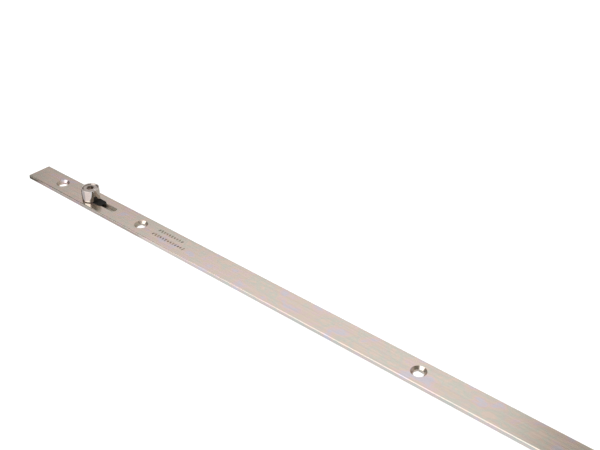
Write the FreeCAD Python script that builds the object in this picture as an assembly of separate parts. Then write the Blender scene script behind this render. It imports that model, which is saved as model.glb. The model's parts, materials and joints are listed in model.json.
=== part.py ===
import FreeCAD, Part

import math
import os

# Window espagnolette, in millimetres.
# X runs along the faceplate, Y across it and Z up through its visible face.
# The origin is on the faceplate's underside, over the spindle.
# The drive rod stands at the left end of its travel, which unlocks the window.

# Faceplate
plate_length = 900.0
plate_width = 16.0
plate_thickness = 2.5
plate_edge_radius = 0.6

# Screw holes for wood or profile screws, each measured from the nearer end of the faceplate
end_screw_inset = 25.0
outer_screw_inset = 100.0
inner_screw_inset = 300.0
screw_hole_diameter = 5.6
screw_sink_diameter = 8.3

# Roller cams, one near each end of the faceplate
cam_inset = 53.5
cam_slot_width = 4.2
cam_slot_overrun = 1.0
roller_diameter = 11.2
roller_height = 7.65
roller_rim_radius = 0.2
roller_foot_radius = 0.3
journal_diameter = 6.4
journal_offset = 0.55
journal_offset_angle = -40.0
stud_head_diameter = 9.2
stud_head_thickness = 1.2
stud_head_drop = 0.4
stud_head_chamfer = 0.25
stud_neck_side_gap = 0.1
stud_shank_diameter = 3.2
stud_foot_diameter = 6.4
stud_foot_thickness = 0.8
socket_across_flats = 4.0
socket_depth = 3.0
glide_width = 6.0
glide_thickness = 0.2
glide_tongue_reach = 12.0
glide_corner_radius = 2.0
glide_heel_reach = 4.8
glide_key_reach = 4.4
glide_key_length = 2.8
glide_key_depth = 1.4
spring_washer_diameter = 7.4
spring_washer_thickness = 0.3
spring_washer_dish = 0.2

# Drive rod
travel = 20.0
rod_width = 11.0
rod_thickness = 2.0
rod_end_overhang = 9.0
rod_window_width = 8.6
rod_window_overrun = 0.2

# Guide studs, welded to the faceplate's underside and headed under the drive rod
guide_to_screw = 50.0
guide_neck_diameter = 4.0
guide_head_diameter = 7.4
guide_head_thickness = 0.9

# Rack and follower: a quarter turn of the follower moves the rod by its whole travel
backset = 22.0
teeth_per_quarter = 5
pressure_angle = 20.0
addendum_factor = 1.0
dedendum_factor = 1.25
backlash = 0.16
flank_steps = 4
gear_face_width = 5.0
rack_land = 8.0
rack_rivet_diameter = 2.5
rack_rivet_head_diameter = 4.0
rack_rivet_head_height = 0.7
hub_radius = 8.0
follower_journal_radius = 7.0
spindle_square = 7.1
detent_notch_radius = 1.4
detent_notch_depth = 0.5

# Gearbox
case_length = 104.0
case_bottom_length = 68.0
case_shoulder_depth = 17.0
case_wall = 1.3
case_side_wall = 1.2
case_corner_radius = 3.0
case_rivet_diameter = 3.0
case_rivet_head_diameter = 5.4
case_rivet_head_height = 0.6
case_rivet_head_round = 0.35
lower_rivet_spacing = 60.0
lower_rivet_drop = 4.5
handle_screw_spacing = 43.0
handle_screw_bore = 5.5
sleeve_diameter = 7.5
fixing_block_length = 9.0
fixing_block_height = 12.4
case_screw_diameter = 4.0
case_screw_length = 12.0
case_screw_head_diameter = 7.6
case_screw_recess_width = 1.0
case_screw_recess_length = 4.4
case_screw_recess_depth = 1.2
block_rivet_depth = 12.0

# Detent spring: a leaf on the case floor, bowed up to the hub
spring_length = 42.0
spring_foot_length = 7.0
spring_thickness = 0.4
spring_width = 6.0
spring_rivet_diameter = 1.6
spring_rivet_head_diameter = 2.8
spring_rivet_head_height = 0.5

# Clearances
running_gap = 0.05
washer_bore_gap = 0.1
glide_key_side_gap = 0.1
glide_key_end_gap = 0.5
rod_to_plate_gap = 0.1
rod_side_gap = 0.2
rod_end_wall_gap = 0.3
guide_slot_gap = 0.15
guide_head_gap = 0.2
screw_slot_gap = 0.3
roller_end_gap = 0.1
roller_rim_gap = 0.1
sink_gap = 0.1
hub_side_gap = 0.2
spring_hub_gap = 0.15
case_floor_room = 1.7

# Heights
plate_top = plate_thickness
rod_top = -rod_to_plate_gap
rod_bottom = rod_top - rod_thickness
axis_z = plate_top - backset

# Places along the faceplate
half_plate = plate_length / 2
cam_x = half_plate - cam_inset
rod_left = -cam_x - rod_end_overhang
rod_right = cam_x - travel + rod_end_overhang
screw_places = [half_plate - inset for inset in (end_screw_inset, outer_screw_inset, inner_screw_inset)]
windowed_screws = screw_places[1:]
guide_places = [windowed_screws[0] - guide_to_screw, windowed_screws[1] + guide_to_screw]
case_half_length = case_length / 2
case_screw_x = case_half_length - case_wall - fixing_block_length / 2

# Cam stack, from the faceplate's top upwards
stud_neck_diameter = cam_slot_width - 2 * stud_neck_side_gap
glide_bottom = plate_top + running_gap
glide_top = glide_bottom + glide_thickness
roller_bottom = glide_top + roller_end_gap
roller_top = roller_bottom + roller_height
stud_top = roller_top - stud_head_drop
head_bottom = stud_top - stud_head_thickness
counterbore_floor = head_bottom - roller_end_gap
spring_washer_height = spring_washer_thickness + spring_washer_dish
stud_foot_top = rod_bottom - spring_washer_height - running_gap

# Gear
gear_radius = travel / (math.pi / 2)
tooth_pitch = travel / teeth_per_quarter
tooth_angle = 90.0 / teeth_per_quarter
module_size = tooth_pitch / math.pi
gear_tip = gear_radius + addendum_factor * module_size
gear_root = gear_radius - dedendum_factor * module_size
rack_line = axis_z + gear_radius
rack_root = rack_line + dedendum_factor * module_size
rack_tip = rack_line - addendum_factor * module_size
first_rack_tooth = -(teeth_per_quarter + 1)
last_rack_tooth = 1
rack_left = (first_rack_tooth - 0.5) * tooth_pitch - rack_land
rack_right = (last_rack_tooth + 0.5) * tooth_pitch + rack_land
rack_rivet_places = [rack_left + rack_land / 2, rack_right - rack_land / 2]

# Gearbox walls
inner_half_width = rod_width / 2 + rod_side_gap
outer_half_width = inner_half_width + case_side_wall
case_floor = axis_z - hub_radius - case_floor_room
case_bottom = case_floor - case_wall
rod_passage_floor = rod_bottom - rod_end_wall_gap
lower_rivet_z = axis_z - lower_rivet_drop


def vector(x, y, z):
    return FreeCAD.Vector(x, y, z)


def block(x_range, y_range, z_range):
    """Box between two places on each axis."""
    lengths = [high - low for low, high in (x_range, y_range, z_range)]
    return Part.makeBox(*lengths, vector(x_range[0], y_range[0], z_range[0]))


def upright(diameter, x, y, z_low, z_high):
    """Cylinder along Z."""
    return Part.makeCylinder(diameter / 2, z_high - z_low, vector(x, y, z_low))


def crosswise(diameter, x, z, y_low, y_high):
    """Cylinder along Y."""
    return Part.makeCylinder(diameter / 2, y_high - y_low, vector(x, y_low, z), vector(0, 1, 0))


def slot(x_left, x_right, width, z_low, z_high):
    """Slot with round ends, its outermost points at x_left and x_right."""
    r = width / 2
    left = x_left + r
    right = x_right - r
    back = Part.LineSegment(vector(left, r, z_low), vector(right, r, z_low))
    end_right = Part.Arc(vector(right, r, z_low), vector(x_right, 0, z_low), vector(right, -r, z_low))
    front = Part.LineSegment(vector(right, -r, z_low), vector(left, -r, z_low))
    end_left = Part.Arc(vector(left, -r, z_low), vector(x_left, 0, z_low), vector(left, r, z_low))
    wire = Part.Wire([curve.toShape() for curve in (back, end_right, front, end_left)])
    return Part.Face(wire).extrude(vector(0, 0, z_high - z_low))


def side_prism(points, y_low, y_high):
    """Prism along Y over an outline of (x, z) points."""
    corners = [vector(x, y_low, z) for x, z in points]
    wire = Part.makePolygon(corners + corners[:1])
    return Part.Face(wire).extrude(vector(0, y_high - y_low, 0))


def travel_slot(x, pin_diameter, side_gap, end_gap, z_low, z_high):
    """Slot in the rod that a fixed pin at x runs along over the whole travel."""
    reach = pin_diameter / 2 + end_gap
    return slot(x - travel - reach, x + reach, pin_diameter + 2 * side_gap, z_low, z_high)


def edges_along(shape, direction):
    """Straight edges of a shape that run along a direction."""
    straight = [edge for edge in shape.Edges if isinstance(edge.Curve, Part.Line)]
    return [edge for edge in straight if abs(edge.tangentAt(edge.FirstParameter).dot(direction)) > 0.999]


def make_faceplate():
    half_width = plate_width / 2
    plate = block((-half_plate, half_plate), (-half_width, half_width), (0, plate_top))
    long_edges = edges_along(plate, vector(1, 0, 0))
    top_edges = [edge for edge in long_edges if edge.CenterOfMass.z > plate_top / 2]
    plate = plate.makeFillet(plate_edge_radius, top_edges)
    cuts = []
    for x in screw_places:
        for side in (-1, 1):
            cuts += sunk_hole(side * x, screw_hole_diameter, screw_sink_diameter)
    for side in (-1, 1):
        hole = case_screw_diameter + 2 * sink_gap
        cuts += sunk_hole(side * case_screw_x, hole, case_screw_head_diameter + 2 * sink_gap)
        neck_x = min(side * cam_x, side * (cam_x - travel))
        left = neck_x - glide_key_reach - glide_key_end_gap
        right = neck_x + travel + cam_slot_width / 2 + cam_slot_overrun
        cuts.append(slot(left, right, cam_slot_width, 0, plate_top))
    return plate.cut(Part.makeCompound(cuts))


def sunk_hole(x, hole_diameter, sink_diameter):
    """Cutters for a through hole with a 90 degree countersink in the faceplate."""
    depth = (sink_diameter - hole_diameter) / 2
    low = vector(x, 0, plate_top - depth)
    sink = Part.makeCone(hole_diameter / 2, sink_diameter / 2, depth, low)
    return [upright(hole_diameter, x, 0, 0, plate_top).fuse(sink)]


def make_drive_rod():
    half_width = rod_width / 2
    rod = block((rod_left, rod_right), (-half_width, half_width), (rod_bottom, rod_top))
    window_end = rod_window_width / 2 + rod_window_overrun
    cuts = []
    for side in (-1, 1):
        for x in windowed_screws:
            left = side * x - travel - window_end
            cuts.append(slot(left, side * x + window_end, rod_window_width, rod_bottom, rod_top))
        for x in guide_places:
            cuts.append(travel_slot(side * x, guide_neck_diameter, guide_slot_gap, screw_slot_gap,
                                    rod_bottom, rod_top))
        cuts.append(travel_slot(side * case_screw_x, case_screw_diameter, screw_slot_gap,
                                screw_slot_gap, rod_bottom, rod_top))
    for x in (-cam_x, cam_x - travel):
        cuts.append(upright(stud_shank_diameter + 2 * running_gap, x, 0, rod_bottom, rod_top))
    for x in rack_rivet_places:
        cuts.append(upright(rack_rivet_diameter + 2 * running_gap, x, 0, rod_bottom, rod_top))
    return rod.cut(Part.makeCompound(cuts))


def make_guide_studs():
    head_top = rod_bottom - guide_head_gap
    studs = []
    for side in (-1, 1):
        for x in guide_places:
            neck = upright(guide_neck_diameter, side * x, 0, head_top, 0)
            head = upright(guide_head_diameter, side * x, 0, head_top - guide_head_thickness, head_top)
            studs.append(neck.fuse(head).removeSplitter())
    return Part.makeCompound(studs)


def journal_centre(neck_x):
    """Centre of the eccentric journal and of the roller on it."""
    angle = math.radians(journal_offset_angle)
    return neck_x + journal_offset * math.cos(angle), journal_offset * math.sin(angle)


def make_cam_stud(neck_x):
    x, y = journal_centre(neck_x)
    foot = upright(stud_foot_diameter, neck_x, 0, stud_foot_top - stud_foot_thickness, stud_foot_top)
    shank = upright(stud_shank_diameter, neck_x, 0, stud_foot_top, rod_top + running_gap)
    neck = upright(stud_neck_diameter, neck_x, 0, rod_top + running_gap, glide_top)
    journal = upright(journal_diameter, x, y, glide_top, head_bottom)
    head = upright(stud_head_diameter, x, y, head_bottom, stud_top)
    rim = [edge for edge in head.Edges if edge.BoundBox.ZMin > stud_top - roller_end_gap]
    head = head.makeChamfer(stud_head_chamfer, rim)
    stud = foot.fuse([shank, neck, journal, head]).removeSplitter()
    return stud.cut(hex_socket(neck_x))


def hex_socket(x):
    """Hexagon socket on the axis of the neck."""
    corner_radius = socket_across_flats / math.sqrt(3)
    floor = stud_top - socket_depth
    corners = []
    for turn in range(6):
        angle = math.radians(60 * turn)
        corners.append(vector(x + corner_radius * math.cos(angle), corner_radius * math.sin(angle), floor))
    face = Part.Face(Part.makePolygon(corners + corners[:1]))
    return face.extrude(vector(0, 0, socket_depth))


def make_roller(neck_x):
    x, y = journal_centre(neck_x)
    body = upright(roller_diameter, x, y, roller_bottom, roller_top)
    top_rim = [edge for edge in body.Edges if edge.BoundBox.ZMin > roller_top - roller_end_gap]
    body = body.makeFillet(roller_rim_radius, top_rim)
    foot_rim = [edge for edge in body.Edges if edge.BoundBox.ZMax < roller_bottom + roller_end_gap]
    body = body.makeFillet(roller_foot_radius, foot_rim)
    bore = upright(journal_diameter + 2 * running_gap, x, y, roller_bottom, roller_top)
    counterbore = upright(stud_head_diameter + 2 * roller_rim_gap, x, y, counterbore_floor, roller_top)
    return body.cut([bore, counterbore])


def make_slot_glide(neck_x):
    """Glide between roller and faceplate: a tongue over the slot, with a key that runs in the slot."""
    half_width = glide_width / 2
    tongue = block((neck_x - glide_heel_reach, neck_x + glide_tongue_reach), (-half_width, half_width),
                   (glide_bottom, glide_top))
    tongue = tongue.makeFillet(glide_corner_radius, edges_along(tongue, vector(0, 0, 1)))
    key_width = cam_slot_width - 2 * glide_key_side_gap
    key_bottom = plate_top - glide_key_depth
    key_left = neck_x - glide_key_reach
    key_right = key_left + glide_key_length
    key = slot(key_left, key_right + key_width, key_width, key_bottom, glide_bottom)
    beyond_key = block((key_right, key_right + key_width), (-key_width, key_width),
                       (key_bottom, glide_bottom))
    bore = upright(stud_neck_diameter + 2 * washer_bore_gap, neck_x, 0, key_bottom, glide_top)
    return tongue.fuse(key.cut(beyond_key)).removeSplitter().cut(bore)


def make_spring_washer(neck_x):
    """Dished washer between the rod and the stud's foot."""
    inner = stud_shank_diameter / 2 + washer_bore_gap
    outer = spring_washer_diameter / 2
    high = rod_bottom - spring_washer_dish
    section = [
        vector(inner, 0, high),
        vector(outer, 0, rod_bottom),
        vector(outer, 0, rod_bottom - spring_washer_thickness),
        vector(inner, 0, high - spring_washer_thickness),
    ]
    face = Part.Face(Part.makePolygon(section + section[:1]))
    washer = face.revolve(vector(0, 0, 0), vector(0, 0, 1), 360)
    washer.translate(vector(neck_x, 0, 0))
    return washer


def make_rack():
    """Bar under the rod with straight-sided teeth that point down."""
    half_face = gear_face_width / 2
    slope = math.tan(math.radians(pressure_angle))
    half_root = tooth_pitch / 4 + (rack_root - rack_line) * slope
    half_tip = tooth_pitch / 4 - (rack_line - rack_tip) * slope
    outline = [(rack_left, rod_bottom), (rack_left, rack_root)]
    for tooth in range(first_rack_tooth, last_rack_tooth + 1):
        x = tooth * tooth_pitch
        outline += [(x - half_root, rack_root), (x - half_tip, rack_tip)]
        outline += [(x + half_tip, rack_tip), (x + half_root, rack_root)]
    outline += [(rack_right, rack_root), (rack_right, rod_bottom)]
    rack = side_prism(outline, -half_face, half_face)
    hole = rack_rivet_diameter + 2 * running_gap
    return rack.cut([upright(hole, x, 0, rack_root, rod_bottom) for x in rack_rivet_places])


def make_rack_rivets():
    rivets = []
    for x in rack_rivet_places:
        shank = upright(rack_rivet_diameter, x, 0, rack_root, rod_top)
        head = upright(rack_rivet_head_diameter, x, 0, rack_root - rack_rivet_head_height, rack_root)
        rivets.append(shank.fuse(head).removeSplitter())
    return Part.makeCompound(rivets)


def polar(radius, angle):
    """Point in the gear's plane, its angle in radians from straight up towards +X."""
    return radius * math.sin(angle), axis_z + radius * math.cos(angle)


def involute(angle):
    return math.tan(angle) - angle


def tooth_outline(centre):
    """One gear tooth from its root on the -X side over the tip to its other root."""
    flank_angle = math.radians(pressure_angle)
    base = gear_radius * math.cos(flank_angle)
    half_at_pitch = (tooth_pitch / 2 - backlash) / 2 / gear_radius
    half_at_base = half_at_pitch + involute(flank_angle)
    side = [(gear_root, half_at_base)]
    for step in range(flank_steps + 1):
        radius = base + (gear_tip - base) * step / flank_steps
        side.append((radius, half_at_base - involute(math.acos(min(1.0, base / radius)))))
    rising = [polar(radius, centre - half) for radius, half in side]
    falling = [polar(radius, centre + half) for radius, half in reversed(side)]
    return rising + falling


def make_follower():
    """Spindle follower: toothed sector, hub with detent notches, journals and square hole."""
    half_face = gear_face_width / 2
    half_hub = inner_half_width - hub_side_gap
    first_tooth = -(teeth_per_quarter + 2)
    centres = [math.radians((tooth + 0.5) * tooth_angle) for tooth in range(first_tooth, 2)]
    half_step = math.radians(tooth_angle / 2)
    outline = [(0, axis_z), polar(gear_root, centres[0] - half_step)]
    for centre in centres:
        outline += tooth_outline(centre)
    outline.append(polar(gear_root, centres[-1] + half_step))
    sector = side_prism(outline, -half_face, half_face)
    hub = crosswise(2 * hub_radius, 0, axis_z, -half_hub, half_hub)
    notch_reach = hub_radius + detent_notch_radius - detent_notch_depth
    for turn in (90, 180):
        x, z = polar(notch_reach, math.radians(turn))
        hub = hub.cut(crosswise(2 * detent_notch_radius, x, z, -half_hub, half_hub))
    journal = crosswise(2 * follower_journal_radius, 0, axis_z, -outer_half_width, outer_half_width)
    half_square = spindle_square / 2
    square = block((-half_square, half_square), (-outer_half_width, outer_half_width),
                   (axis_z - half_square, axis_z + half_square))
    return sector.fuse([hub, journal]).removeSplitter().cut(square)


def case_outline(inset):
    """Half-turned outline of the gearbox, moved in by a wall's thickness where asked."""
    slope_run = (case_length - case_bottom_length) / 2
    slope_rise = -case_bottom - case_shoulder_depth
    slope_length = math.hypot(slope_run, slope_rise)
    half_top = case_half_length - inset
    bottom = case_bottom + inset
    shoulder = -case_shoulder_depth + inset * (slope_length - slope_rise) / slope_run
    half_bottom = case_bottom_length / 2 - inset * (slope_length - slope_run) / slope_rise
    left = [(-half_top, 0), (-half_top, shoulder), (-half_bottom, bottom)]
    return left + [(-x, z) for x, z in reversed(left)]


def rounded_case_prism(inset, y_low, y_high):
    prism = side_prism(case_outline(inset), y_low, y_high)
    corners = [edge for edge in edges_along(prism, vector(0, 1, 0)) if edge.CenterOfMass.z < rod_bottom]
    return prism.makeFillet(case_corner_radius - inset, corners)


def case_cross_holes(y_low, y_high):
    """Holes that both case halves have, for the follower, the screw sleeves and the rivets."""
    holes = [crosswise(2 * (follower_journal_radius + running_gap), 0, axis_z, y_low, y_high)]
    for side in (-1, 1):
        x = side * handle_screw_spacing / 2
        holes.append(crosswise(sleeve_diameter + 2 * running_gap, x, axis_z, y_low, y_high))
        rivet_hole = case_rivet_diameter + 2 * running_gap
        for place, z in case_rivet_places():
            holes.append(crosswise(rivet_hole, side * place, z, y_low, y_high))
    return holes


def case_rivet_places():
    return [(case_screw_x, -block_rivet_depth), (lower_rivet_spacing / 2, lower_rivet_z)]


def make_gearbox_case():
    """Front shell: side wall with a rim round its floor and ends."""
    case = rounded_case_prism(0, -outer_half_width, inner_half_width)
    cavity = rounded_case_prism(case_wall, -inner_half_width, inner_half_width)
    passage = block((-case_half_length, case_half_length), (-inner_half_width, inner_half_width),
                    (rod_passage_floor, 0))
    case = case.cut([cavity, passage])
    case = case.cut(case_cross_holes(-outer_half_width, -inner_half_width))
    hole = spring_rivet_diameter + 2 * running_gap
    return case.cut([upright(hole, x, 0, case_bottom, case_floor) for x in spring_rivet_places()])


def make_gearbox_cover():
    cover = rounded_case_prism(0, inner_half_width, outer_half_width)
    return cover.cut(case_cross_holes(inner_half_width, outer_half_width))


def make_case_rivets():
    rivets = []
    for side in (-1, 1):
        for place, z in case_rivet_places():
            rivets.append(case_rivet(side * place, z))
    return Part.makeCompound(rivets)


def case_rivet(x, z):
    shank = crosswise(case_rivet_diameter, x, z, -outer_half_width, outer_half_width)
    heads = []
    for side in (-1, 1):
        inner = side * outer_half_width
        outer = side * (outer_half_width + case_rivet_head_height)
        head = crosswise(case_rivet_head_diameter, x, z, min(inner, outer), max(inner, outer))
        rim = [edge for edge in head.Edges if abs(edge.BoundBox.Center.y - outer) < running_gap]
        heads.append(head.makeFillet(case_rivet_head_round, rim))
    return shank.fuse(heads).removeSplitter()


def make_screw_sleeves():
    """Tubes that the handle's screws pass through."""
    sleeves = []
    for side in (-1, 1):
        x = side * handle_screw_spacing / 2
        tube = crosswise(sleeve_diameter, x, axis_z, -outer_half_width, outer_half_width)
        bore = crosswise(handle_screw_bore, x, axis_z, -outer_half_width, outer_half_width)
        sleeves.append(tube.cut(bore))
    return Part.makeCompound(sleeves)


def make_fixing_block(side):
    """Tapped block at one end of the case, where a screw through the faceplate holds it."""
    x = side * case_screw_x
    half_length = fixing_block_length / 2
    bottom = rod_passage_floor - fixing_block_height
    body = block((x - half_length, x + half_length), (-inner_half_width, inner_half_width),
                 (bottom, rod_passage_floor))
    tapped = case_screw_diameter + 2 * running_gap
    screw_hole = upright(tapped, x, 0, plate_top - case_screw_length - screw_slot_gap, rod_passage_floor)
    rivet_hole = crosswise(case_rivet_diameter + 2 * running_gap, x, -block_rivet_depth,
                           -inner_half_width, inner_half_width)
    return body.cut([screw_hole, rivet_hole])


def make_case_screws():
    """Countersunk machine screws with a cross recess, their heads just under the visible face."""
    screws = []
    head_top = plate_top - running_gap
    head_depth = (case_screw_head_diameter - case_screw_diameter) / 2
    for side in (-1, 1):
        x = side * case_screw_x
        shank = upright(case_screw_diameter, x, 0, plate_top - case_screw_length, head_top)
        low = vector(x, 0, head_top - head_depth)
        head = Part.makeCone(case_screw_diameter / 2, case_screw_head_diameter / 2, head_depth, low)
        half_long = case_screw_recess_length / 2
        half_wide = case_screw_recess_width / 2
        depths = (head_top - case_screw_recess_depth, head_top)
        lengthways = block((x - half_long, x + half_long), (-half_wide, half_wide), depths)
        crossways = block((x - half_wide, x + half_wide), (-half_long, half_long), depths)
        screws.append(shank.fuse(head).removeSplitter().cut(lengthways.fuse(crossways)))
    return Part.makeCompound(screws)


def spring_rivet_places():
    place = (spring_length - spring_foot_length) / 2
    return [-place, place]


def make_detent_spring():
    """Leaf with two flat feet and a bow between them that reaches up to the hub."""
    half_width = spring_width / 2
    half_length = spring_length / 2
    bow_half = half_length - spring_foot_length
    bow_top = axis_z - hub_radius - spring_hub_gap
    upper_foot = case_floor + spring_thickness
    lower_middle = bow_top - spring_thickness

    def at(x, z):
        return vector(x, -half_width, z)

    curves = [
        Part.LineSegment(at(-half_length, upper_foot), at(-bow_half, upper_foot)),
        Part.Arc(at(-bow_half, upper_foot), at(0, bow_top), at(bow_half, upper_foot)),
        Part.LineSegment(at(bow_half, upper_foot), at(half_length, upper_foot)),
        Part.LineSegment(at(half_length, upper_foot), at(half_length, case_floor)),
        Part.LineSegment(at(half_length, case_floor), at(bow_half, case_floor)),
        Part.Arc(at(bow_half, case_floor), at(0, lower_middle), at(-bow_half, case_floor)),
        Part.LineSegment(at(-bow_half, case_floor), at(-half_length, case_floor)),
        Part.LineSegment(at(-half_length, case_floor), at(-half_length, upper_foot)),
    ]
    wire = Part.Wire([curve.toShape() for curve in curves])
    leaf = Part.Face(wire).extrude(vector(0, spring_width, 0))
    hole = spring_rivet_diameter + 2 * running_gap
    return leaf.cut([upright(hole, x, 0, case_floor, upper_foot) for x in spring_rivet_places()])


def make_spring_rivets():
    rivets = []
    seat = case_floor + spring_thickness
    for x in spring_rivet_places():
        shank = upright(spring_rivet_diameter, x, 0, case_bottom, seat)
        head = upright(spring_rivet_head_diameter, x, 0, seat, seat + spring_rivet_head_height)
        rivets.append(shank.fuse(head).removeSplitter())
    return Part.makeCompound(rivets)


nodes = {
    "faceplate": make_faceplate(),
    "drive_rod": make_drive_rod(),
    "guide_studs": make_guide_studs(),
    "rack": make_rack(),
    "rack_rivets": make_rack_rivets(),
    "spindle_follower": make_follower(),
    "gearbox_case": make_gearbox_case(),
    "gearbox_cover": make_gearbox_cover(),
    "case_rivets": make_case_rivets(),
    "handle_screw_sleeves": make_screw_sleeves(),
    "case_screws": make_case_screws(),
    "detent_spring": make_detent_spring(),
    "spring_rivets": make_spring_rivets(),
}
for end_name, side in (("left", -1), ("right", 1)):
    nodes["fixing_block_" + end_name] = make_fixing_block(side)
for end_name, neck_x in (("left", -cam_x), ("right", cam_x - travel)):
    nodes["cam_stud_" + end_name] = make_cam_stud(neck_x)
    nodes["roller_" + end_name] = make_roller(neck_x)
    nodes["slot_glide_" + end_name] = make_slot_glide(neck_x)
    nodes["spring_washer_" + end_name] = make_spring_washer(neck_x)

os.makedirs("parts", exist_ok=True)
for name, shape in nodes.items():
    shape.exportStep("parts/" + name + ".step")
    print(name, "valid" if shape.isValid() else "NOT VALID", len(shape.Solids), round(shape.Volume, 2))
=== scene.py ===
import json
import math

import bmesh
import bpy
from mathutils import Matrix, Vector


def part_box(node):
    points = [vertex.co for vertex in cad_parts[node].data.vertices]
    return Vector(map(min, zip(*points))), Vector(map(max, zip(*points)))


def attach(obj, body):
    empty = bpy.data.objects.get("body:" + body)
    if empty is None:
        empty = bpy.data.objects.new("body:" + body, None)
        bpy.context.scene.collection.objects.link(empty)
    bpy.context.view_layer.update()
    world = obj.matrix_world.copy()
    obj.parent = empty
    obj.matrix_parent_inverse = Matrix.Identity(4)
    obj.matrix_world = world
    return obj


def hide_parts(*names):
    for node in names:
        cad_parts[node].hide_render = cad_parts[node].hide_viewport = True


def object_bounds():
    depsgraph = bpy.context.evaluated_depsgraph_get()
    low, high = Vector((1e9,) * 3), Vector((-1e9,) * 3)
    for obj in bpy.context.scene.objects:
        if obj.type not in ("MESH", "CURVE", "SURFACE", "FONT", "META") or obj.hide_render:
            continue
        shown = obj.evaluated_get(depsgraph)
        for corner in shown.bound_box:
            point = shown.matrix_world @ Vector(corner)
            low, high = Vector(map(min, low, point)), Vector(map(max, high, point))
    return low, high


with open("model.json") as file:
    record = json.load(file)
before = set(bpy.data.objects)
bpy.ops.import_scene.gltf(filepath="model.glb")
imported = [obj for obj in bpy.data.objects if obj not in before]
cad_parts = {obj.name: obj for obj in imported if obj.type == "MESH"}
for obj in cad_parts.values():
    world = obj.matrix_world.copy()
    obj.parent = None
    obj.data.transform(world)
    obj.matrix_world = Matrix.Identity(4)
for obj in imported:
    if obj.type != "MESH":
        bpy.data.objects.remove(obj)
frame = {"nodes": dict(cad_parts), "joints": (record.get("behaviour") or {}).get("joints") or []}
cad_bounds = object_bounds()

# Sizes in metres, like everything here. Places and outer sizes come from the frame's nodes.
MM = 0.001
ENDS = ("left", "right")

# Faceplate
PLATE_EDGE_RADIUS = 0.6 * MM
PLATE_UNDER_EDGE_RADIUS = 0.15 * MM
SCREW_INSETS = (25 * MM, 100 * MM, 300 * MM)
SCREW_HOLE_RADIUS = 2.8 * MM
SCREW_SINK_RADIUS = 4.15 * MM
CASE_SCREW_RADIUS = 2 * MM
CASE_SCREW_HOLE_RADIUS = 2.1 * MM
CASE_SCREW_SINK_RADIUS = 3.9 * MM
HOLE_EDGE_BREAK = 0.12 * MM
CAM_SLOT_WIDTH = 4.2 * MM
CAM_SLOT_OVERRUN = 1 * MM
GLIDE_KEY_REACH = 4.4 * MM
GLIDE_KEY_END_GAP = 0.5 * MM

# Stamped scale beside the outer hole: two rows of plain strokes cut as V grooves. Each row is given
# by its distance from the plate's end and from the centre line, and its number of strokes. They are
# fewer and coarser than a real stamp's, so that they show. Their lengths go down to the shortest
# share of STROKE_LENGTH, and they lean either way by up to STROKE_TILT, in radians.
STAMP_ROWS = ((113.6 * MM, 2.9 * MM, 10), (113 * MM, -1.9 * MM, 13))
STROKE_STEP = 2.1 * MM
STROKE_LENGTH = 2.6 * MM
STROKE_SHORTEST = 0.4
STROKE_WIDTH = 1.05 * MM
STROKE_TILT = 0.8
STROKE_LENGTH_SEED = 7
STROKE_TILT_SEED = 3

# Sheared walls: how far their normals may rise, and how much rougher they are than the face
UPRIGHT_LIMIT = 0.3
WALL_ROUGHNESS = 0.45

# Drive rod
TRAVEL = 20 * MM
ROD_EDGE_RADIUS = 0.25 * MM
ROD_WINDOW_WIDTH = 8.6 * MM
ROD_WINDOW_OVERRUN = 0.2 * MM
RACK_RIVET_RADIUS = 1.25 * MM
RACK_RIVET_HEAD_RADIUS = 2 * MM
SCREW_SLOT_GAP = 0.3 * MM
RUNNING_GAP = 0.05 * MM

# Guide studs
GUIDE_TO_SCREW = 50 * MM
GUIDE_NECK_RADIUS = 2 * MM
GUIDE_SLOT_GAP = 0.15 * MM
GUIDE_HEAD_THICKNESS = 0.9 * MM
GUIDE_HEAD_ROUNDING = 0.3 * MM

# Cams
JOURNAL_RADIUS = 3.2 * MM
STUD_HEAD_RADIUS = 4.6 * MM
STUD_HEAD_THICKNESS = 1.2 * MM
STUD_NECK_RADIUS = 2 * MM
STUD_SHANK_RADIUS = 1.6 * MM
STUD_FOOT_RADIUS = 3.2 * MM
STUD_FOOT_THICKNESS = 0.8 * MM
STUD_CHAMFER = 0.25 * MM
SOCKET_ACROSS_FLATS = 4 * MM
SOCKET_DEPTH = 3 * MM
SOCKET_MOUTH_FLARE = 0.35 * MM
ROLLER_RIM_RADIUS = 0.2 * MM
ROLLER_INNER_RIM_RADIUS = 0.1 * MM
ROLLER_FOOT_RADIUS = 0.3 * MM
ROLLER_RIM_GAP = 0.1 * MM
ROLLER_END_GAP = 0.1 * MM

# Meshes: how far a cutter goes past a face, how near two points are one, the facets to a turn, or
# to the half turn at a slot's end, and the steps across a bevel
CUT_PAST = 1 * MM
MERGE_DISTANCE = 0.0001 * MM
WELD_DISTANCE = 0.001 * MM
ROLLER_FACETS = 128
STUD_FACETS = 96
SHANK_FACETS = 72
GUIDE_FACETS = 64
CUTTER_FACETS = 64
SLOT_END_FACETS = 24
BEVEL_SEGMENTS = 2

# Angles in degrees: the sharpest edge that is shaded smooth, and what still counts as flat
SMOOTH_ANGLE = 30
COPY_SMOOTH_ANGLE = 40
FLAT_ANGLE = 0.5

# Camera, fitted to the plate's edges and holes in the photograph
CAMERA_AZIMUTH = 40.55
CAMERA_ELEVATION = 32.76
CAMERA_ROLL = 0.09
CAMERA_DISTANCE = 556.9 * MM
CAMERA_TARGET = (172.4 * MM, 69.3 * MM)
CAMERA_CLIP = (0.01, 50.0)
FOCAL_PIXELS = 933.4
IMAGE_WIDTH = 600
SENSOR_WIDTH = 36.0

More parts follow.
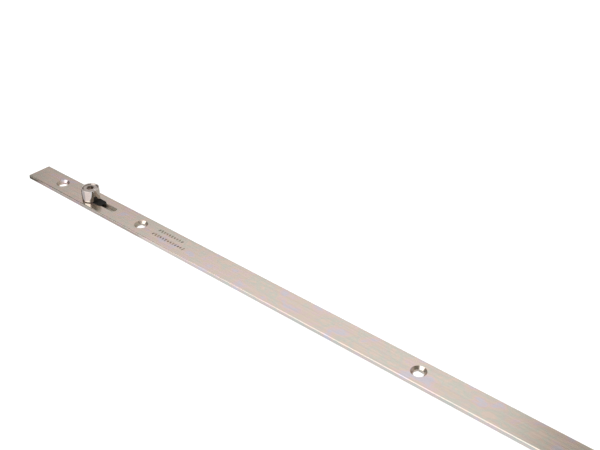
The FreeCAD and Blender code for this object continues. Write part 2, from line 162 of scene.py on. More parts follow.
# Studio cards round the part, glowing softly. Each goes from one compass angle to another, in
# degrees from +X towards +Y, and from one height above the plate's top to another, in degrees seen
# from the middle. Its tone comes last.
STUDIO_MIDDLE = (-0.25, 0.0)
CARD_DISTANCE = 1.6
CARD_STEPS = 12
STUDIO_CARDS = (
    ("right_card", -60, 20, 0, 60, "7E7C74"),
    ("back_right_card", 20, 75, 0, 58, "B8B4AA"),
    ("corner_card", 75, 106, 0, 56, "B6B2AA"),
    ("back_card_low", 107, 165, 0, 18, "6E6C68"),
    ("back_card_high", 107, 153, 18, 32, "CEC7C5"),
    ("back_card_end", 153, 165, 18, 32, "8A8680"),
    ("left_card", 165, 222, 0, 46, "86837F"),
)
# Cards that lie on the table, each between two corners, with its tone
TABLE_CARDS = (
    ("card_behind_cam", (-0.44, 0.028), (-0.32, 0.10), "C0BCB4"),
    ("card_at_left_end", (-0.62, -0.10), (-0.488, -0.012), "6A6660"),
    ("card_left_of_cam", (-0.488, -0.10), (-0.425, -0.012), "CBC8CC"),
    ("card_before_cam", (-0.425, -0.046), (-0.38, -0.012), "BCBCBE"),
    ("card_beyond_cam", (-0.425, -0.10), (-0.335, -0.046), "FFF5F4"),
    ("card_beside_cam", (-0.38, -0.046), (-0.335, -0.012), "EFF7FF"),
    ("card_in_front", (-0.335, -0.10), (0.10, -0.012), "EFF7FF"),
)
# Softbox: its direction and distance from the middle, with angles as for the cards
SOFTBOX_COMPASS = 256
SOFTBOX_TILT = 38
SOFTBOX_DISTANCE = 1.2
SOFTBOX_SIZE = (1.3, 0.8)
SOFTBOX_POWER = 4
# Room and table
WHITE = (1, 1, 1, 1)
TABLE_COLOUR = (0.8, 0.8, 0.8, 1)
TABLE_GLOW = 0.3
TABLE_REACH = 6.0
TABLE_DROP = 0.1 * MM

# What every metal sets on its shader
METALLIC = {"Metallic": 1.0}
# Numbers of a mix node's colour sockets, because other sockets share their names
MIX_COLOUR_A = 6
MIX_COLOUR_B = 7
MIX_COLOUR_RESULT = 2

plate_low, plate_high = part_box("faceplate")
rod_low, rod_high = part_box("drive_rod")
HALF_PLATE = (plate_high.x - plate_low.x) / 2
PLATE_TOP = plate_high.z
SCREW_PLACES = [HALF_PLATE - inset for inset in SCREW_INSETS]
GUIDE_PLACES = [SCREW_PLACES[1] - GUIDE_TO_SCREW, SCREW_PLACES[2] + GUIDE_TO_SCREW]
block_low, block_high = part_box("fixing_block_right")
CASE_SCREW_PLACE = (block_low.x + block_high.x) / 2
JOINT_PLACES = {joint["name"]: Vector(joint["pos_m"])
                for joint in frame["joints"] if "pos_m" in joint}
NECKS = {end: JOINT_PLACES["cam_adjust_" + end] for end in ENDS}
ROLLER_CENTRES = {end: JOINT_PLACES["roller_spin_" + end] for end in ENDS}


def linear(code):
    """Linear colour of an sRGB hex code such as C0B4A8."""
    values = [int(code[i:i + 2], 16) / 255 for i in (0, 2, 4)]
    curve = [v / 12.92 if v <= 0.04045 else ((v + 0.055) / 1.055) ** 2.4 for v in values]
    return (*curve, 1.0)


def add(tree, kind, values=None, links=None, stops=(), **settings):
    """Adds a node with its settings, the values of its free sockets and the links to the others.

    A link comes from an output socket, or from the first one of a node. The stops of a colour ramp
    are given as (place, hex code)."""
    node = tree.nodes.new(kind)
    for name, value in settings.items():
        setattr(node, name, value)
    for socket, value in (values or {}).items():
        node.inputs[socket].default_value = value
    for socket, source in (links or {}).items():
        output = source if isinstance(source, bpy.types.NodeSocket) else source.outputs[0]
        tree.links.new(output, node.inputs[socket])
    if stops:
        elements = node.color_ramp.elements
        while len(elements) < len(stops):
            elements.new(1.0)
        for element, (place, code) in zip(elements, stops):
            element.position = place
            element.color = linear(code)
    return node


def new_material(name):
    material = bpy.data.materials.new(name)
    material.use_nodes = True
    material.node_tree.nodes.clear()
    return material, material.node_tree


def object_noise(tree, size, detail, roughness):
    """Noise on object coordinates, from its features' size in millimetres along X, Y and Z."""
    place = add(tree, "ShaderNodeTexCoord").outputs["Object"]
    mapped = add(tree, "ShaderNodeMapping", {"Scale": [1 / (length * MM) for length in size]},
                 {"Vector": place})
    settings = {"Scale": 1.0, "Detail": detail, "Roughness": roughness}
    return add(tree, "ShaderNodeTexNoise", settings, {"Vector": mapped}).outputs["Fac"]


def surface(tree, colour, rough, relief=None, values=METALLIC):
    """Links a material's colour, roughness and relief to its shader and to the output."""
    links = {"Base Color": colour, "Roughness": rough}
    if relief:
        links["Normal"] = relief
    shader = add(tree, "ShaderNodeBsdfPrincipled", values, links)
    add(tree, "ShaderNodeOutputMaterial", links={"Surface": shader})


def punched_wall(tree):
    """1 on the upright walls inside the faceplate's outline and 0 on the rest."""
    place = add(tree, "ShaderNodeTexCoord").outputs
    heights = add(tree, "ShaderNodeSeparateXYZ", links={0: place["Normal"]}).outputs["Z"]
    across = add(tree, "ShaderNodeSeparateXYZ", links={0: place["Object"]}).outputs["Y"]
    tests = []
    for value, limit in ((heights, UPRIGHT_LIMIT), (across, plate_high.y - PLATE_EDGE_RADIUS)):
        size = add(tree, "ShaderNodeMath", links={0: value}, operation="ABSOLUTE")
        tests.append(add(tree, "ShaderNodeMath", {1: limit}, {0: size}, operation="LESS_THAN"))
    return add(tree, "ShaderNodeMath", links={0: tests[0], 1: tests[1]}, operation="MULTIPLY")


def zinc_plated_strip():
    """Cold-rolled strip, zinc plated and passivated: fine streaks along it and pale rainbow tints.

    The sheared walls of its holes and slots are duller than the rolled face. The rolling lines are
    drawn 0.9 mm wide, which is several times coarser than real ones, so that they show."""
    material, tree = new_material("zinc_plated_strip")
    tints = object_noise(tree, (9.259, 6.944, 8.333), detail=2.0, roughness=0.5)
    colour = add(tree, "ShaderNodeValToRGB", links={"Fac": tints},
                 stops=[(0.32, "D6CFD6"), (0.40, "E2CCC8"), (0.47, "DFD0C0"), (0.52, "DCCEC6"),
                        (0.58, "D3D1C5"), (0.66, "E2D0C3")])
    streaks = object_noise(tree, (40, 0.9091, 0.9091), detail=3.0, roughness=0.6)
    shade = add(tree, "ShaderNodeValToRGB", links={"Fac": streaks},
                stops=[(0.35, "F7F7F7"), (0.65, "FFFFFF")])
    streaked = add(tree, "ShaderNodeMix", {"Factor": 1.0},
                   {MIX_COLOUR_A: colour, MIX_COLOUR_B: shade},
                   data_type="RGBA", blend_type="MULTIPLY").outputs[MIX_COLOUR_RESULT]
    rolled = add(tree, "ShaderNodeMapRange", {"To Min": 0.15, "To Max": 0.26}, {"Value": streaks})
    rough = add(tree, "ShaderNodeMath", {1: WALL_ROUGHNESS}, {0: punched_wall(tree), 2: rolled},
                operation="MULTIPLY_ADD")
    relief = add(tree, "ShaderNodeBump", {"Distance": 0.003 * MM}, {"Height": streaks})
    surface(tree, streaked, rough, relief)
    return material


def zinc_plated_rod():
    """Plain zinc on drawn strip: greyer and duller than the faceplate, with faint draw lines.

    The lines are drawn 0.45 mm wide, coarser than real ones, so that they show."""
    material, tree = new_material("zinc_plated_rod")
    patches = object_noise(tree, (14.286, 14.286, 14.286), detail=3.0, roughness=0.6)
    colour = add(tree, "ShaderNodeValToRGB", links={"Fac": patches},
                 stops=[(0.35, "BAB5AC"), (0.65, "C6C1B8")])
    streaks = object_noise(tree, (11.111, 0.4545, 0.4545), detail=3.0, roughness=0.6)
    rough = add(tree, "ShaderNodeMapRange", {"To Min": 0.55, "To Max": 0.68}, {"Value": streaks})
    relief = add(tree, "ShaderNodeBump", {"Distance": 0.004 * MM}, {"Height": streaks})
    surface(tree, colour, rough, relief)
    return material


def nickel_plate(name, dark, light):
    """Turned steel with bright nickel plate: mirror-like, with faint rings from the lathe, which
    lie 0.14 mm apart as its feed leaves them."""
    material, tree = new_material(name)
    patches = object_noise(tree, (3.333, 3.333, 3.333), detail=2.0, roughness=0.5)
    colour = add(tree, "ShaderNodeValToRGB", links={"Fac": patches},
                 stops=[(0.35, dark), (0.65, light)])
    rings = object_noise(tree, (16.667, 16.667, 0.14286), detail=2.0, roughness=0.5)
    rough = add(tree, "ShaderNodeMapRange", {"To Min": 0.05, "To Max": 0.10}, {"Value": patches})
    relief = add(tree, "ShaderNodeBump", {"Distance": 0.001 * MM}, {"Height": rings})
    surface(tree, colour, rough, relief)
    return material


def pressed_case_steel():
    """Pressed steel shell, barrel zinc plated: satin, with soft cloudy patches and fine grain.

    The grain is drawn 0.4 mm wide, coarser than the plating's own, so that it shows close up."""
    material, tree = new_material("pressed_case_steel")
    clouds = object_noise(tree, (11.111, 11.111, 11.111), detail=4.0, roughness=0.6)
    colour = add(tree, "ShaderNodeValToRGB", links={"Fac": clouds},
                 stops=[(0.32, "A9A39A"), (0.5, "B4ADA4"), (0.68, "B0ABAA")])
    grain = object_noise(tree, (0.3846, 0.3846, 0.3846), detail=2.0, roughness=0.6)
    rough = add(tree, "ShaderNodeMapRange", {"To Min": 0.34, "To Max": 0.46}, {"Value": clouds})
    relief = add(tree, "ShaderNodeBump", {"Distance": 0.006 * MM}, {"Height": grain})
    surface(tree, colour, rough, relief)
    return material


def sintered_steel():
    """Pressed and sintered powder steel: dull grey, with fine open grain.

    The grain is drawn 0.3 mm wide, coarser than the powder's own, so that it shows close up."""
    material, tree = new_material("sintered_steel")
    grain = object_noise(tree, (0.3125, 0.3125, 0.3125), detail=3.0, roughness=0.7)
    colour = add(tree, "ShaderNodeValToRGB", links={"Fac": grain},
                 stops=[(0.35, "77746F"), (0.65, "8F8C86")])
    rough = add(tree, "ShaderNodeMapRange", {"To Min": 0.42, "To Max": 0.58}, {"Value": grain})
    relief = add(tree, "ShaderNodeBump", {"Distance": 0.02 * MM}, {"Height": grain})
    surface(tree, colour, rough, relief)
    return material


def turned_steel():
    """Turned bar: bright, with fine rings from the tool, which lie 0.24 mm apart as a coarse feed
    leaves them."""
    material, tree = new_material("turned_steel")
    rings = object_noise(tree, (2, 0.2381, 2), detail=2.0, roughness=0.5)
    colour = add(tree, "ShaderNodeValToRGB", links={"Fac": rings},
                 stops=[(0.35, "A6A29B"), (0.65, "BAB6AF")])
    rough = add(tree, "ShaderNodeMapRange", {"To Min": 0.22, "To Max": 0.36}, {"Value": rings})
    relief = add(tree, "ShaderNodeBump", {"Distance": 0.004 * MM}, {"Height": rings})
    surface(tree, colour, rough, relief)
    return material


def blued_spring_steel():
    """Hardened strip, tempered blue-grey: smooth and half bright, with a cloudy temper colour."""
    material, tree = new_material("blued_spring_steel")
    clouds = object_noise(tree, (3.846, 3.846, 3.846), detail=3.0, roughness=0.6)
    colour = add(tree, "ShaderNodeValToRGB", links={"Fac": clouds},
                 stops=[(0.35, "4B505A"), (0.65, "6A6B70")])
    rough = add(tree, "ShaderNodeMapRange", {"To Min": 0.26, "To Max": 0.38}, {"Value": clouds})
    surface(tree, colour, rough)
    return material


def nylon_with_painted_shade():
    """Black nylon, moulded: dull, with a faint spark texture that swallows most of the sheen. Its
    grain is 0.2 mm wide, as the spark-eroded mould leaves it. Its near-black is in part painted
    shade: it also stands for the deep shade in and beside the slot next to each roller."""
    material, tree = new_material("nylon_with_painted_shade")
    grain = object_noise(tree, (0.2, 0.2, 0.2), detail=2.0, roughness=0.5)
    colour = add(tree, "ShaderNodeValToRGB", links={"Fac": grain},
                 stops=[(0.35, "0E0D0D"), (0.65, "171615")])
    rough = add(tree, "ShaderNodeMapRange", {"To Min": 0.55, "To Max": 0.7}, {"Value": grain})
    relief = add(tree, "ShaderNodeBump", {"Distance": 0.01 * MM}, {"Height": grain})
    surface(tree, colour, rough, relief, {"IOR": 1.53, "Specular IOR Level": 0.25})
    return material


STRIP = zinc_plated_strip()
ROD = zinc_plated_rod()
NICKEL = nickel_plate("polished_nickel", "D6CEC8", "DED7D2")
# The stud's copy of the nickel is painted a little darker than the roller's.
STUD_NICKEL = nickel_plate("polished_stud_nickel", "CAC3BD", "D2CBC6")
CASE = pressed_case_steel()
SINTERED = sintered_steel()
TURNED = turned_steel()
SPRING = blued_spring_steel()
NYLON_WITH_PAINTED_SHADE = nylon_with_painted_shade()

# Gearbox and cam pieces that take the solid's own shape: node, piece, material, body, slot, and the
# width of the bevel on its sharp edges, or 0 for none
COPIES = [
    ("gearbox_case", "case_shell", CASE, "frame", "case_steel", 0.2 * MM),
    ("gearbox_cover", "cover_plate", CASE, "frame", "case_steel", 0.2 * MM),
    ("case_rivets", "case_rivets_set", TURNED, "frame", "rivet_steel", 0),
    ("handle_screw_sleeves", "screw_sleeves_turned", TURNED, "frame", "sleeve_steel", 0.12 * MM),
    ("case_screws", "case_screws_sunk", TURNED, "frame", "screw_steel", 0.05 * MM),
    ("spindle_follower", "follower_sector", SINTERED, "follower", "follower_steel", 0.08 * MM),
    ("rack", "rack_bar", ROD, "rod", "rod_steel", 0.06 * MM),
    ("rack_rivets", "rack_rivets_set", TURNED, "rod", "rivet_steel", 0.08 * MM),
    ("detent_spring", "detent_leaf", SPRING, "frame", "spring_steel", 0),
    ("spring_rivets", "leaf_rivets", TURNED, "frame", "rivet_steel", 0),
]
for end in ENDS:
    COPIES += [
        ("fixing_block_" + end, "tapped_block_" + end, TURNED, "frame", "sleeve_steel", 0.15 * MM),
        ("spring_washer_" + end, "dished_washer_" + end, SPRING, "rod", "spring_steel", 0),
        # The glide's black is in part painted shade beside the roller, in and around the slot.
        ("slot_glide_" + end, "moulded_glide_" + end, NYLON_WITH_PAINTED_SHADE, "rod", "glide_nylon", 0.12 * MM),
    ]


def add_to_scene(name, data):
    thing = bpy.data.objects.new(name, data)
    bpy.context.scene.collection.objects.link(thing)
    return thing


def mesh_object(name, bm):
    mesh = bpy.data.meshes.new(name)
    bmesh.ops.recalc_face_normals(bm, faces=bm.faces)
    bm.to_mesh(mesh)
    bm.free()
    return add_to_scene(name, mesh)


def bake(thing):
    """Turns an object with modifiers into one with a plain mesh."""
    graph = bpy.context.evaluated_depsgraph_get()
    mesh = bpy.data.meshes.new_from_object(thing.evaluated_get(graph))
    thing.modifiers.clear()
    thing.data = mesh


def combine(thing, other, operation):
    """Cuts another object out of one or joins it on, and removes the other."""
    modifier = thing.modifiers.new("combine", "BOOLEAN")
    modifier.operation = operation
    modifier.solver = "EXACT"
    modifier.object = other
    bake(thing)
    bpy.data.objects.remove(other)


def weld(piece):
    """Joins vertices that cuts and bevels left in one place, and drops faces without any area."""
    bm = bmesh.new()
    bm.from_mesh(piece.data)
    bmesh.ops.remove_doubles(bm, verts=bm.verts, dist=WELD_DISTANCE)
    bmesh.ops.dissolve_degenerate(bm, edges=bm.edges, dist=WELD_DISTANCE)
    bm.to_mesh(piece.data)
    bm.free()


def finish_piece(piece, material, nodes, body, smooth_angle=SMOOTH_ANGLE):
    """Shades, paints and places a piece that stands for CAD nodes."""
    weld(piece)
    piece.data.materials.clear()
    piece.data.materials.append(material)
    for face in piece.data.polygons:
        face.use_smooth = True
        face.material_index = 0
    piece.data.set_sharp_from_angle(angle=math.radians(smooth_angle))
    weighted = piece.modifiers.new("even_normals", "WEIGHTED_NORMAL")
    weighted.keep_sharp = True
    bake(piece)
    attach(piece, body)
    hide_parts(*nodes)


def arc(centre, radius, start, end, steps=6):
    """Points on an arc in a profile, from one angle to another in degrees."""
    angles = [math.radians(start + (end - start) * step / steps) for step in range(steps + 1)]
    return [(centre[0] + radius * math.cos(a), centre[1] + radius * math.sin(a)) for a in angles]


def turned(name, profile, centre, facets):
    """Solid turned from a closed profile of (radius, height) points about an upright axis."""
    bm = bmesh.new()
    rings = []
    for facet in range(facets):
        angle = 2 * math.pi * facet / facets
        c, s = math.cos(angle), math.sin(angle)
        rings.append([bm.verts.new(Vector(centre) + Vector((r * c, r * s, h)))
                      for r, h in profile])
    count = len(profile)
    for here, there in zip(rings, rings[1:] + rings[:1]):
        for i in range(count):
            j = (i + 1) % count
            on_axis = profile[i][0] == 0 and profile[j][0] == 0
            if not on_axis:
                bm.faces.new((here[i], here[j], there[j], there[i]))
    bmesh.ops.remove_doubles(bm, verts=bm.verts, dist=MERGE_DISTANCE)
    return mesh_object(name, bm)


def close_prism(bm, rings):
    """Joins rings of vertices into a closed solid with flat ends."""
    count = len(rings[0])
    for lower, upper in zip(rings, rings[1:]):
        for i in range(count):
            j = (i + 1) % count
            bm.faces.new((lower[i], lower[j], upper[j], upper[i]))
    bm.faces.new(list(reversed(rings[0])))
    bm.faces.new(rings[-1])


def round_cutter(bm, centre, levels, facets=CUTTER_FACETS):
    """Closed solid about an upright axis, from (radius, height) levels. Six facets make a hexagon,
    with its corners on the radius."""
    angles = [2 * math.pi * facet / facets for facet in range(facets)]
    close_prism(bm, [[bm.verts.new((centre[0] + r * math.cos(a), centre[1] + r * math.sin(a), z))
                      for a in angles] for r, z in levels])


def stadium(bm, x_left, x_right, radius, z_low, z_high, flare=0.0):
    """Closed prism with round ends. With a flare, it widens towards its top by that much at z_high,
    which breaks the edge that it cuts, and goes on past it."""
    levels = [(z_low, 0.0), (z_high, 0.0)]
    if flare:
        levels = [(z_low, 0.0), (z_high - flare, 0.0), (z_high + flare, 2 * flare)]
    rings = []
    for z, grow in levels:
        ring = []
        for centre, start in ((x_right - radius, -90), (x_left + radius, 90)):
            ring += [bm.verts.new((x, y, z)) for x, y in
                     arc((centre, 0), radius + grow, start, start + 180, SLOT_END_FACETS)]
        rings.append(ring)
    close_prism(bm, rings)


def bar(name, low, high, top_radius, under_radius):
    """Straight bar with rounded long edges."""
    y, z0, z1 = high.y, low.z, high.z
    profile = arc((y - top_radius, z1 - top_radius), top_radius, 0, 90)
    profile += arc((-y + top_radius, z1 - top_radius), top_radius, 90, 180)
    profile += arc((-y + under_radius, z0 + under_radius), under_radius, 180, 270, steps=3)
    profile += arc((y - under_radius, z0 + under_radius), under_radius, 270, 360, steps=3)
    bm = bmesh.new()
    close_prism(bm, [[bm.verts.new((x, p[0], p[1])) for p in profile] for x in (low.x, high.x)])
    return mesh_object(name, bm)


def geometry_tree(name, sockets):
    """Empty node tree for geometry, its inputs given as (name, kind). Returns it and its inputs."""
    tree = bpy.data.node_groups.new(name, "GeometryNodeTree")
    tree.interface.new_socket("Geometry", in_out="OUTPUT", socket_type="NodeSocketGeometry")
    inputs = {socket: tree.interface.new_socket(socket, in_out="INPUT", socket_type=kind)
              for socket, kind in sockets}
    return tree, inputs


def painted_output(tree, instances, material):
    """Makes instances real, paints them and sends them to the tree's output."""
    real = add(tree, "GeometryNodeRealizeInstances", links={"Geometry": instances})
    painted = add(tree, "GeometryNodeSetMaterial", {"Material": material}, {"Geometry": real})
    add(tree, "NodeGroupOutput", links={"Geometry": painted})


def stroke_rows():
    """Cutter for the stamped scale, made by a node tree that repeats one stroke along each row.

    A stroke is a square bar turned onto its edge, so that its lower half cuts a V groove."""
    sizes = {"Step": STROKE_STEP, "Length": STROKE_LENGTH, "Side": STROKE_WIDTH / math.sqrt(2),
             "Shortest": STROKE_SHORTEST, "Tilt": STROKE_TILT}
    tree, inputs = geometry_tree("stamped_rows", [(name, "NodeSocketFloat") for name in sizes])
    for name, value in sizes.items():
        inputs[name].default_value = value
    given = add(tree, "NodeGroupInput").outputs
    size = add(tree, "ShaderNodeCombineXYZ",
               links={"X": given["Side"], "Y": given["Length"], "Z": given["Side"]})
    square_bar = add(tree, "GeometryNodeMeshCube", links={"Size": size})
    wedge = add(tree, "GeometryNodeTransform", {"Rotation": (0, math.radians(45), 0)},
                {"Geometry": square_bar})
    shortest = add(tree, "ShaderNodeCombineXYZ", {"X": 1, "Z": 1}, {"Y": given["Shortest"]})
    lengths = add(tree, "FunctionNodeRandomValue",
                  {"Max": (1, 1, 1), "Seed": STROKE_LENGTH_SEED}, {"Min": shortest},
                  data_type="FLOAT_VECTOR")
    tilt_back = add(tree, "ShaderNodeMath", {1: -1.0}, {0: given["Tilt"]}, operation="MULTIPLY")
    tilts = [add(tree, "ShaderNodeCombineXYZ", links={"Z": tilt})
             for tilt in (tilt_back, given["Tilt"])]
    turns = add(tree, "FunctionNodeRandomValue", {"Seed": STROKE_TILT_SEED},
                {"Min": tilts[0], "Max": tilts[1]}, data_type="FLOAT_VECTOR")
    step = add(tree, "ShaderNodeCombineXYZ", links={"X": given["Step"]})
    joined = add(tree, "GeometryNodeJoinGeometry")
    for inset, y, count in STAMP_ROWS:
        line = add(tree, "GeometryNodeMeshLine",
                   {"Count": count, "Start Location": (inset - HALF_PLATE, y, PLATE_TOP)},
                   {"Offset": step})
        copies = add(tree, "GeometryNodeInstanceOnPoints",
                     links={"Points": line, "Instance": wedge, "Scale": lengths,
                            "Rotation": turns})
        tree.links.new(copies.outputs["Instances"], joined.inputs["Geometry"])
    painted_output(tree, joined, STRIP)
    holder = mesh_object("stamped_rows", bmesh.new())
    holder.modifiers.new("rows", "NODES").node_group = tree
    bake(holder)
    return holder


def repeat_on_points(name, template, points, material):
    """Node tree that sets copies of a template piece on given points, baked to one mesh."""
    holder = mesh_object(name, bmesh.new())
    holder.data.from_pydata(points, [], [])
    tree, inputs = geometry_tree(name + "_tree", [("Geometry", "NodeSocketGeometry"),
                                                  ("Template", "NodeSocketObject")])
    given = add(tree, "NodeGroupInput").outputs
    source = add(tree, "GeometryNodeObjectInfo", links={"Object": given["Template"]})
    copies = add(tree, "GeometryNodeInstanceOnPoints",
                 links={"Points": given["Geometry"], "Instance": source.outputs["Geometry"]})
    painted_output(tree, copies, material)
    modifier = holder.modifiers.new("repeat", "NODES")
    modifier.node_group = tree
    modifier[inputs["Template"].identifier] = template
    bake(holder)
    bpy.data.objects.remove(template)
    return holder


def sunk_levels(hole, sink):
    """Levels of a cutter for a countersunk hole whose top edge is slightly broken."""
    flare = HOLE_EDGE_BREAK
    return [(hole, -flare), (hole, PLATE_TOP - (sink - hole)), (sink, PLATE_TOP),
            (sink + flare, PLATE_TOP + flare)]


def make_faceplate():
    plate = bar("faceplate_strip", plate_low, plate_high, PLATE_EDGE_RADIUS,
                PLATE_UNDER_EDGE_RADIUS)
    bm = bmesh.new()
    for side in (-1, 1):
        for x in SCREW_PLACES:
            round_cutter(bm, (side * x, 0), sunk_levels(SCREW_HOLE_RADIUS, SCREW_SINK_RADIUS))
        round_cutter(bm, (side * CASE_SCREW_PLACE, 0),
                     sunk_levels(CASE_SCREW_HOLE_RADIUS, CASE_SCREW_SINK_RADIUS))
    half_width = CAM_SLOT_WIDTH / 2
    for neck in NECKS.values():
        stadium(bm, neck.x - GLIDE_KEY_REACH - GLIDE_KEY_END_GAP,
                neck.x + TRAVEL + half_width + CAM_SLOT_OVERRUN, half_width, -CUT_PAST, PLATE_TOP,
                HOLE_EDGE_BREAK)
    combine(plate, mesh_object("plate_cutters", bm), "DIFFERENCE")
    combine(plate, stroke_rows(), "DIFFERENCE")
    finish_piece(plate, STRIP, ["faceplate"], "frame")


def travel_window(bm, x, radius, end_reach):
    """Cutter for a window in the rod that a fixed screw or stud at x runs along."""
    stadium(bm, x - TRAVEL - end_reach, x + end_reach, radius, rod_low.z - CUT_PAST,
            rod_high.z + CUT_PAST)


def make_drive_rod():
    rod = bar("drive_rod_strip", rod_low, rod_high, ROD_EDGE_RADIUS, ROD_EDGE_RADIUS)
    bm = bmesh.new()
    window = ROD_WINDOW_WIDTH / 2
    case_slot = CASE_SCREW_RADIUS + SCREW_SLOT_GAP
    for side in (-1, 1):
        for x in SCREW_PLACES[1:]:
            travel_window(bm, side * x, window, window + ROD_WINDOW_OVERRUN)
        for x in GUIDE_PLACES:
            travel_window(bm, side * x, GUIDE_NECK_RADIUS + GUIDE_SLOT_GAP,
                          GUIDE_NECK_RADIUS + SCREW_SLOT_GAP)
        travel_window(bm, side * CASE_SCREW_PLACE, case_slot, case_slot)
    rivets_low, rivets_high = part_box("rack_rivets")
    holes = [(neck.x, STUD_SHANK_RADIUS) for neck in NECKS.values()]
    holes += [(x, RACK_RIVET_RADIUS) for x in (rivets_low.x + RACK_RIVET_HEAD_RADIUS,
                                               rivets_high.x - RACK_RIVET_HEAD_RADIUS)]
    for x, radius in holes:
        r = radius + RUNNING_GAP
        round_cutter(bm, (x, 0), [(r, rod_low.z - CUT_PAST), (r, rod_high.z + CUT_PAST)])
    combine(rod, mesh_object("rod_cutters", bm), "DIFFERENCE")
    finish_piece(rod, ROD, ["drive_rod"], "rod")


def make_roller(end):
    """Roller of one cam, with a recess in its top for the stud's head."""
    low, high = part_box("roller_" + end)
    head_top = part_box("cam_stud_" + end)[1].z
    radius = (high.x - low.x) / 2
    bore = JOURNAL_RADIUS + RUNNING_GAP
    recess = STUD_HEAD_RADIUS + ROLLER_RIM_GAP
    floor = head_top - STUD_HEAD_THICKNESS - ROLLER_END_GAP
    foot, rim, inner = ROLLER_FOOT_RADIUS, ROLLER_RIM_RADIUS, ROLLER_INNER_RIM_RADIUS
    profile = [(bore, low.z)]
    profile += arc((radius - foot, low.z + foot), foot, -90, 0)
    profile += arc((radius - rim, high.z - rim), rim, 0, 90, steps=10)
    profile += arc((recess + inner, high.z - inner), inner, 90, 180, steps=3)
    profile += [(recess, floor), (bore, floor)]
    centre = ROLLER_CENTRES[end]
    roller = turned("roller_shell_" + end, profile, (centre.x, centre.y, 0), ROLLER_FACETS)
    finish_piece(roller, NICKEL, ["roller_" + end], "roller_" + end)


def make_stud(end):
    """Stud of one cam. Its journal and head stand off the axis of its neck and socket."""
    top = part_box("cam_stud_" + end)[1].z
    glide_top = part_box("slot_glide_" + end)[1].z
    neck, centre = NECKS[end], ROLLER_CENTRES[end]
    head_bottom = top - STUD_HEAD_THICKNESS
    upper = [(0, glide_top), (JOURNAL_RADIUS, glide_top), (JOURNAL_RADIUS, head_bottom),
             (STUD_HEAD_RADIUS, head_bottom)]
    upper += arc((STUD_HEAD_RADIUS - STUD_CHAMFER, top - STUD_CHAMFER), STUD_CHAMFER, 0, 90,
                 steps=4)
    upper += [(0, top)]
    stud = turned("cam_stud_turned_" + end, upper, (centre.x, centre.y, 0), STUD_FACETS)

    foot_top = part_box("spring_washer_" + end)[0].z - RUNNING_GAP
    foot_bottom = foot_top - STUD_FOOT_THICKNESS
    shoulder = rod_high.z + RUNNING_GAP
    neck_top = glide_top + RUNNING_GAP
    lower = [(0, foot_bottom), (STUD_FOOT_RADIUS - STUD_CHAMFER, foot_bottom),
             (STUD_FOOT_RADIUS, foot_bottom + STUD_CHAMFER), (STUD_FOOT_RADIUS, foot_top),
             (STUD_SHANK_RADIUS, foot_top), (STUD_SHANK_RADIUS, shoulder),
             (STUD_NECK_RADIUS, shoulder), (STUD_NECK_RADIUS, neck_top), (0, neck_top)]
    shank = turned("cam_stud_lower_" + end, lower, (neck.x, neck.y, 0), SHANK_FACETS)
    combine(stud, shank, "UNION")

    # Hexagon socket with a slightly flared mouth
    corner = SOCKET_ACROSS_FLATS / math.sqrt(3)
    flare = SOCKET_MOUTH_FLARE
    bm = bmesh.new()
    round_cutter(bm, (neck.x, neck.y), [(corner, top - SOCKET_DEPTH), (corner, top - flare),
                                        (corner + 2 * flare, top + flare)], facets=6)
    combine(stud, mesh_object("hex_cutter", bm), "DIFFERENCE")
    finish_piece(stud, STUD_NICKEL, ["cam_stud_" + end], "stud_" + end)


def make_guide_studs():
    low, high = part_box("guide_studs")
    head_radius = (high.x - low.x) / 2 - GUIDE_PLACES[0]
    rounding = GUIDE_HEAD_ROUNDING
    head_top = low.z + GUIDE_HEAD_THICKNESS
    profile = [(0, low.z)]
    profile += arc((head_radius - rounding, low.z + rounding), rounding, -90, 0, steps=4)
    profile += [(head_radius, head_top), (GUIDE_NECK_RADIUS, head_top),
                (GUIDE_NECK_RADIUS, high.z), (0, high.z)]
    template = turned("guide_stud_template", profile, (0, 0, 0), GUIDE_FACETS)
    points = [(side * x, 0, 0) for side in (-1, 1) for x in GUIDE_PLACES]
    studs = repeat_on_points("guide_studs_headed", template, points, ROD)
    finish_piece(studs, ROD, ["guide_studs"], "frame")


def make_copy(node, name, material, body, slot, bevel):
    """A CAD node's own shape with its sharp edges broken, for a surface finish."""
    bm = bmesh.new()
    bm.from_mesh(frame["nodes"][node].data)
    bmesh.ops.remove_doubles(bm, verts=bm.verts, dist=MERGE_DISTANCE)
    bmesh.ops.dissolve_limit(bm, angle_limit=math.radians(FLAT_ANGLE), verts=bm.verts,
                             edges=bm.edges)
    piece = mesh_object(name, bm)
    if bevel:
        modifier = piece.modifiers.new("edge_break", "BEVEL")
        modifier.width = bevel
        modifier.segments = BEVEL_SEGMENTS
        modifier.limit_method = "ANGLE"
        modifier.angle_limit = math.radians(COPY_SMOOTH_ANGLE)
        bake(piece)
    finish_piece(piece, material, [node], body, COPY_SMOOTH_ANGLE)


def make_stage():
    """White table under the part, which keeps the soft shadow.

    The camera and reflections see it glow as well, so that it comes out as plain white there."""
    bm = bmesh.new()
    z = cad_bounds[0].z - TABLE_DROP
    corners = ((-1, -1), (1, -1), (1, 1), (-1, 1))
    bm.faces.new([bm.verts.new((x * TABLE_REACH, y * TABLE_REACH, z)) for x, y in corners])
    table = mesh_object("table_top", bm)
    material, tree = new_material("white_table")
    shade = add(tree, "ShaderNodeBsdfDiffuse", {"Color": TABLE_COLOUR})
    glow = add(tree, "ShaderNodeEmission", {"Color": WHITE, "Strength": TABLE_GLOW})
    lit = add(tree, "ShaderNodeAddShader", links={0: shade, 1: glow})
    path = add(tree, "ShaderNodeLightPath").outputs
    seen = path["Is Camera Ray"]
    for ray in ("Is Glossy Ray", "Is Transmission Ray"):
        seen = add(tree, "ShaderNodeMath", links={0: seen, 1: path[ray]}, operation="MAXIMUM")
    shader = add(tree, "ShaderNodeMixShader", links={0: seen, 1: shade, 2: lit})
    add(tree, "ShaderNodeOutputMaterial", links={"Surface": shader})
    table.data.materials.append(material)


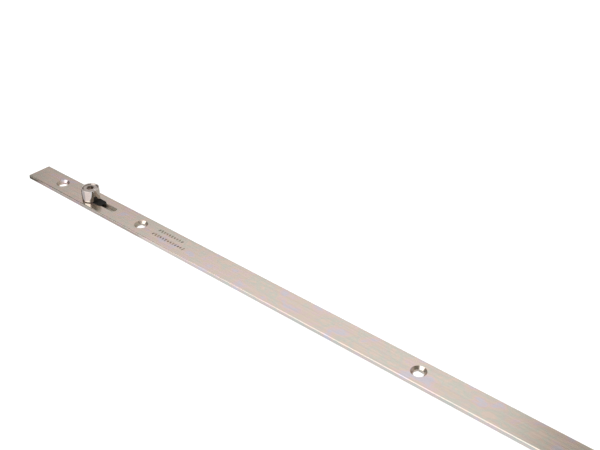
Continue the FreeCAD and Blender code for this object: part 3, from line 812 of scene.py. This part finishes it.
def glowing_card(name, bm, code):
    """Card that glows in one plain tone and is seen only in reflections."""
    card = mesh_object(name, bm)
    card.visible_camera = False
    card.visible_diffuse = False
    card.visible_shadow = False
    material, tree = new_material(name)
    glow = add(tree, "ShaderNodeEmission", {"Color": linear(code)})
    add(tree, "ShaderNodeOutputMaterial", links={"Surface": glow})
    card.data.materials.append(material)


def table_card(name, low, high, code):
    """Flat card just above the table."""
    bm = bmesh.new()
    corners = (low, (high[0], low[1]), high, (low[0], high[1]))
    bm.faces.new([bm.verts.new((x, y, cad_bounds[0].z)) for x, y in corners])
    glowing_card(name, bm, code)


def studio_card(name, start, end, low, high, code):
    """Curved card that stands round the part."""
    bm = bmesh.new()
    heights = [PLATE_TOP + CARD_DISTANCE * math.tan(math.radians(tilt)) for tilt in (low, high)]
    columns = [[bm.verts.new((x, y, z)) for z in heights]
               for x, y in arc(STUDIO_MIDDLE, CARD_DISTANCE, start, end, CARD_STEPS)]
    for here, there in zip(columns, columns[1:]):
        bm.faces.new((here[0], here[1], there[1], there[0]))
    glowing_card(name, bm, code)


def make_world():
    """Plain white room above the cards."""
    world = bpy.data.worlds.new("studio")
    bpy.context.scene.world = world
    world.use_nodes = True
    tree = world.node_tree
    tree.nodes.clear()
    sky = add(tree, "ShaderNodeBackground", {"Color": WHITE, "Strength": 1.0})
    add(tree, "ShaderNodeOutputWorld", links={"Surface": sky})


def make_softbox():
    """Broad lamp in front of the part, which puts the bright line on its front edge."""
    light = bpy.data.lights.new("softbox", "AREA")
    light.shape = "RECTANGLE"
    light.size, light.size_y = SOFTBOX_SIZE
    light.energy = SOFTBOX_POWER
    lamp = add_to_scene("softbox", light)
    compass, tilt = math.radians(SOFTBOX_COMPASS), math.radians(SOFTBOX_TILT)
    out = Vector((math.cos(compass) * math.cos(tilt), math.sin(compass) * math.cos(tilt),
                  math.sin(tilt)))
    lamp.location = Vector((*STUDIO_MIDDLE, PLATE_TOP)) + out * SOFTBOX_DISTANCE
    lamp.rotation_euler = (-out).to_track_quat("-Z", "Y").to_euler()


def make_camera():
    """Camera that looks at a point given by its distances from the plate's near left corner."""
    data = bpy.data.cameras.new("camera")
    data.sensor_width = SENSOR_WIDTH
    data.lens = FOCAL_PIXELS / IMAGE_WIDTH * SENSOR_WIDTH
    data.clip_start, data.clip_end = CAMERA_CLIP
    camera = add_to_scene("camera", data)
    a, e = math.radians(CAMERA_AZIMUTH), math.radians(CAMERA_ELEVATION)
    back = Vector((math.sin(a) * math.cos(e), -math.cos(a) * math.cos(e), math.sin(e)))
    corner = Vector((plate_low.x, plate_low.y, PLATE_TOP))
    place = corner + Vector((*CAMERA_TARGET, 0)) + back * CAMERA_DISTANCE
    turn = (-back).to_track_quat("-Z", "Y").to_matrix()
    roll = Matrix.Rotation(math.radians(CAMERA_ROLL), 3, "Z")
    camera.matrix_world = Matrix.Translation(place) @ (turn @ roll).to_4x4()
    bpy.context.scene.camera = camera


make_faceplate()
make_drive_rod()
for end in ENDS:
    make_roller(end)
    make_stud(end)
make_guide_studs()
for copy in COPIES:
    make_copy(*copy)

make_stage()
make_world()
for card in STUDIO_CARDS:
    studio_card(*card)
for card in TABLE_CARDS:
    table_card(*card)
make_softbox()
make_camera()
bpy.context.scene.view_settings.view_transform = "Standard"
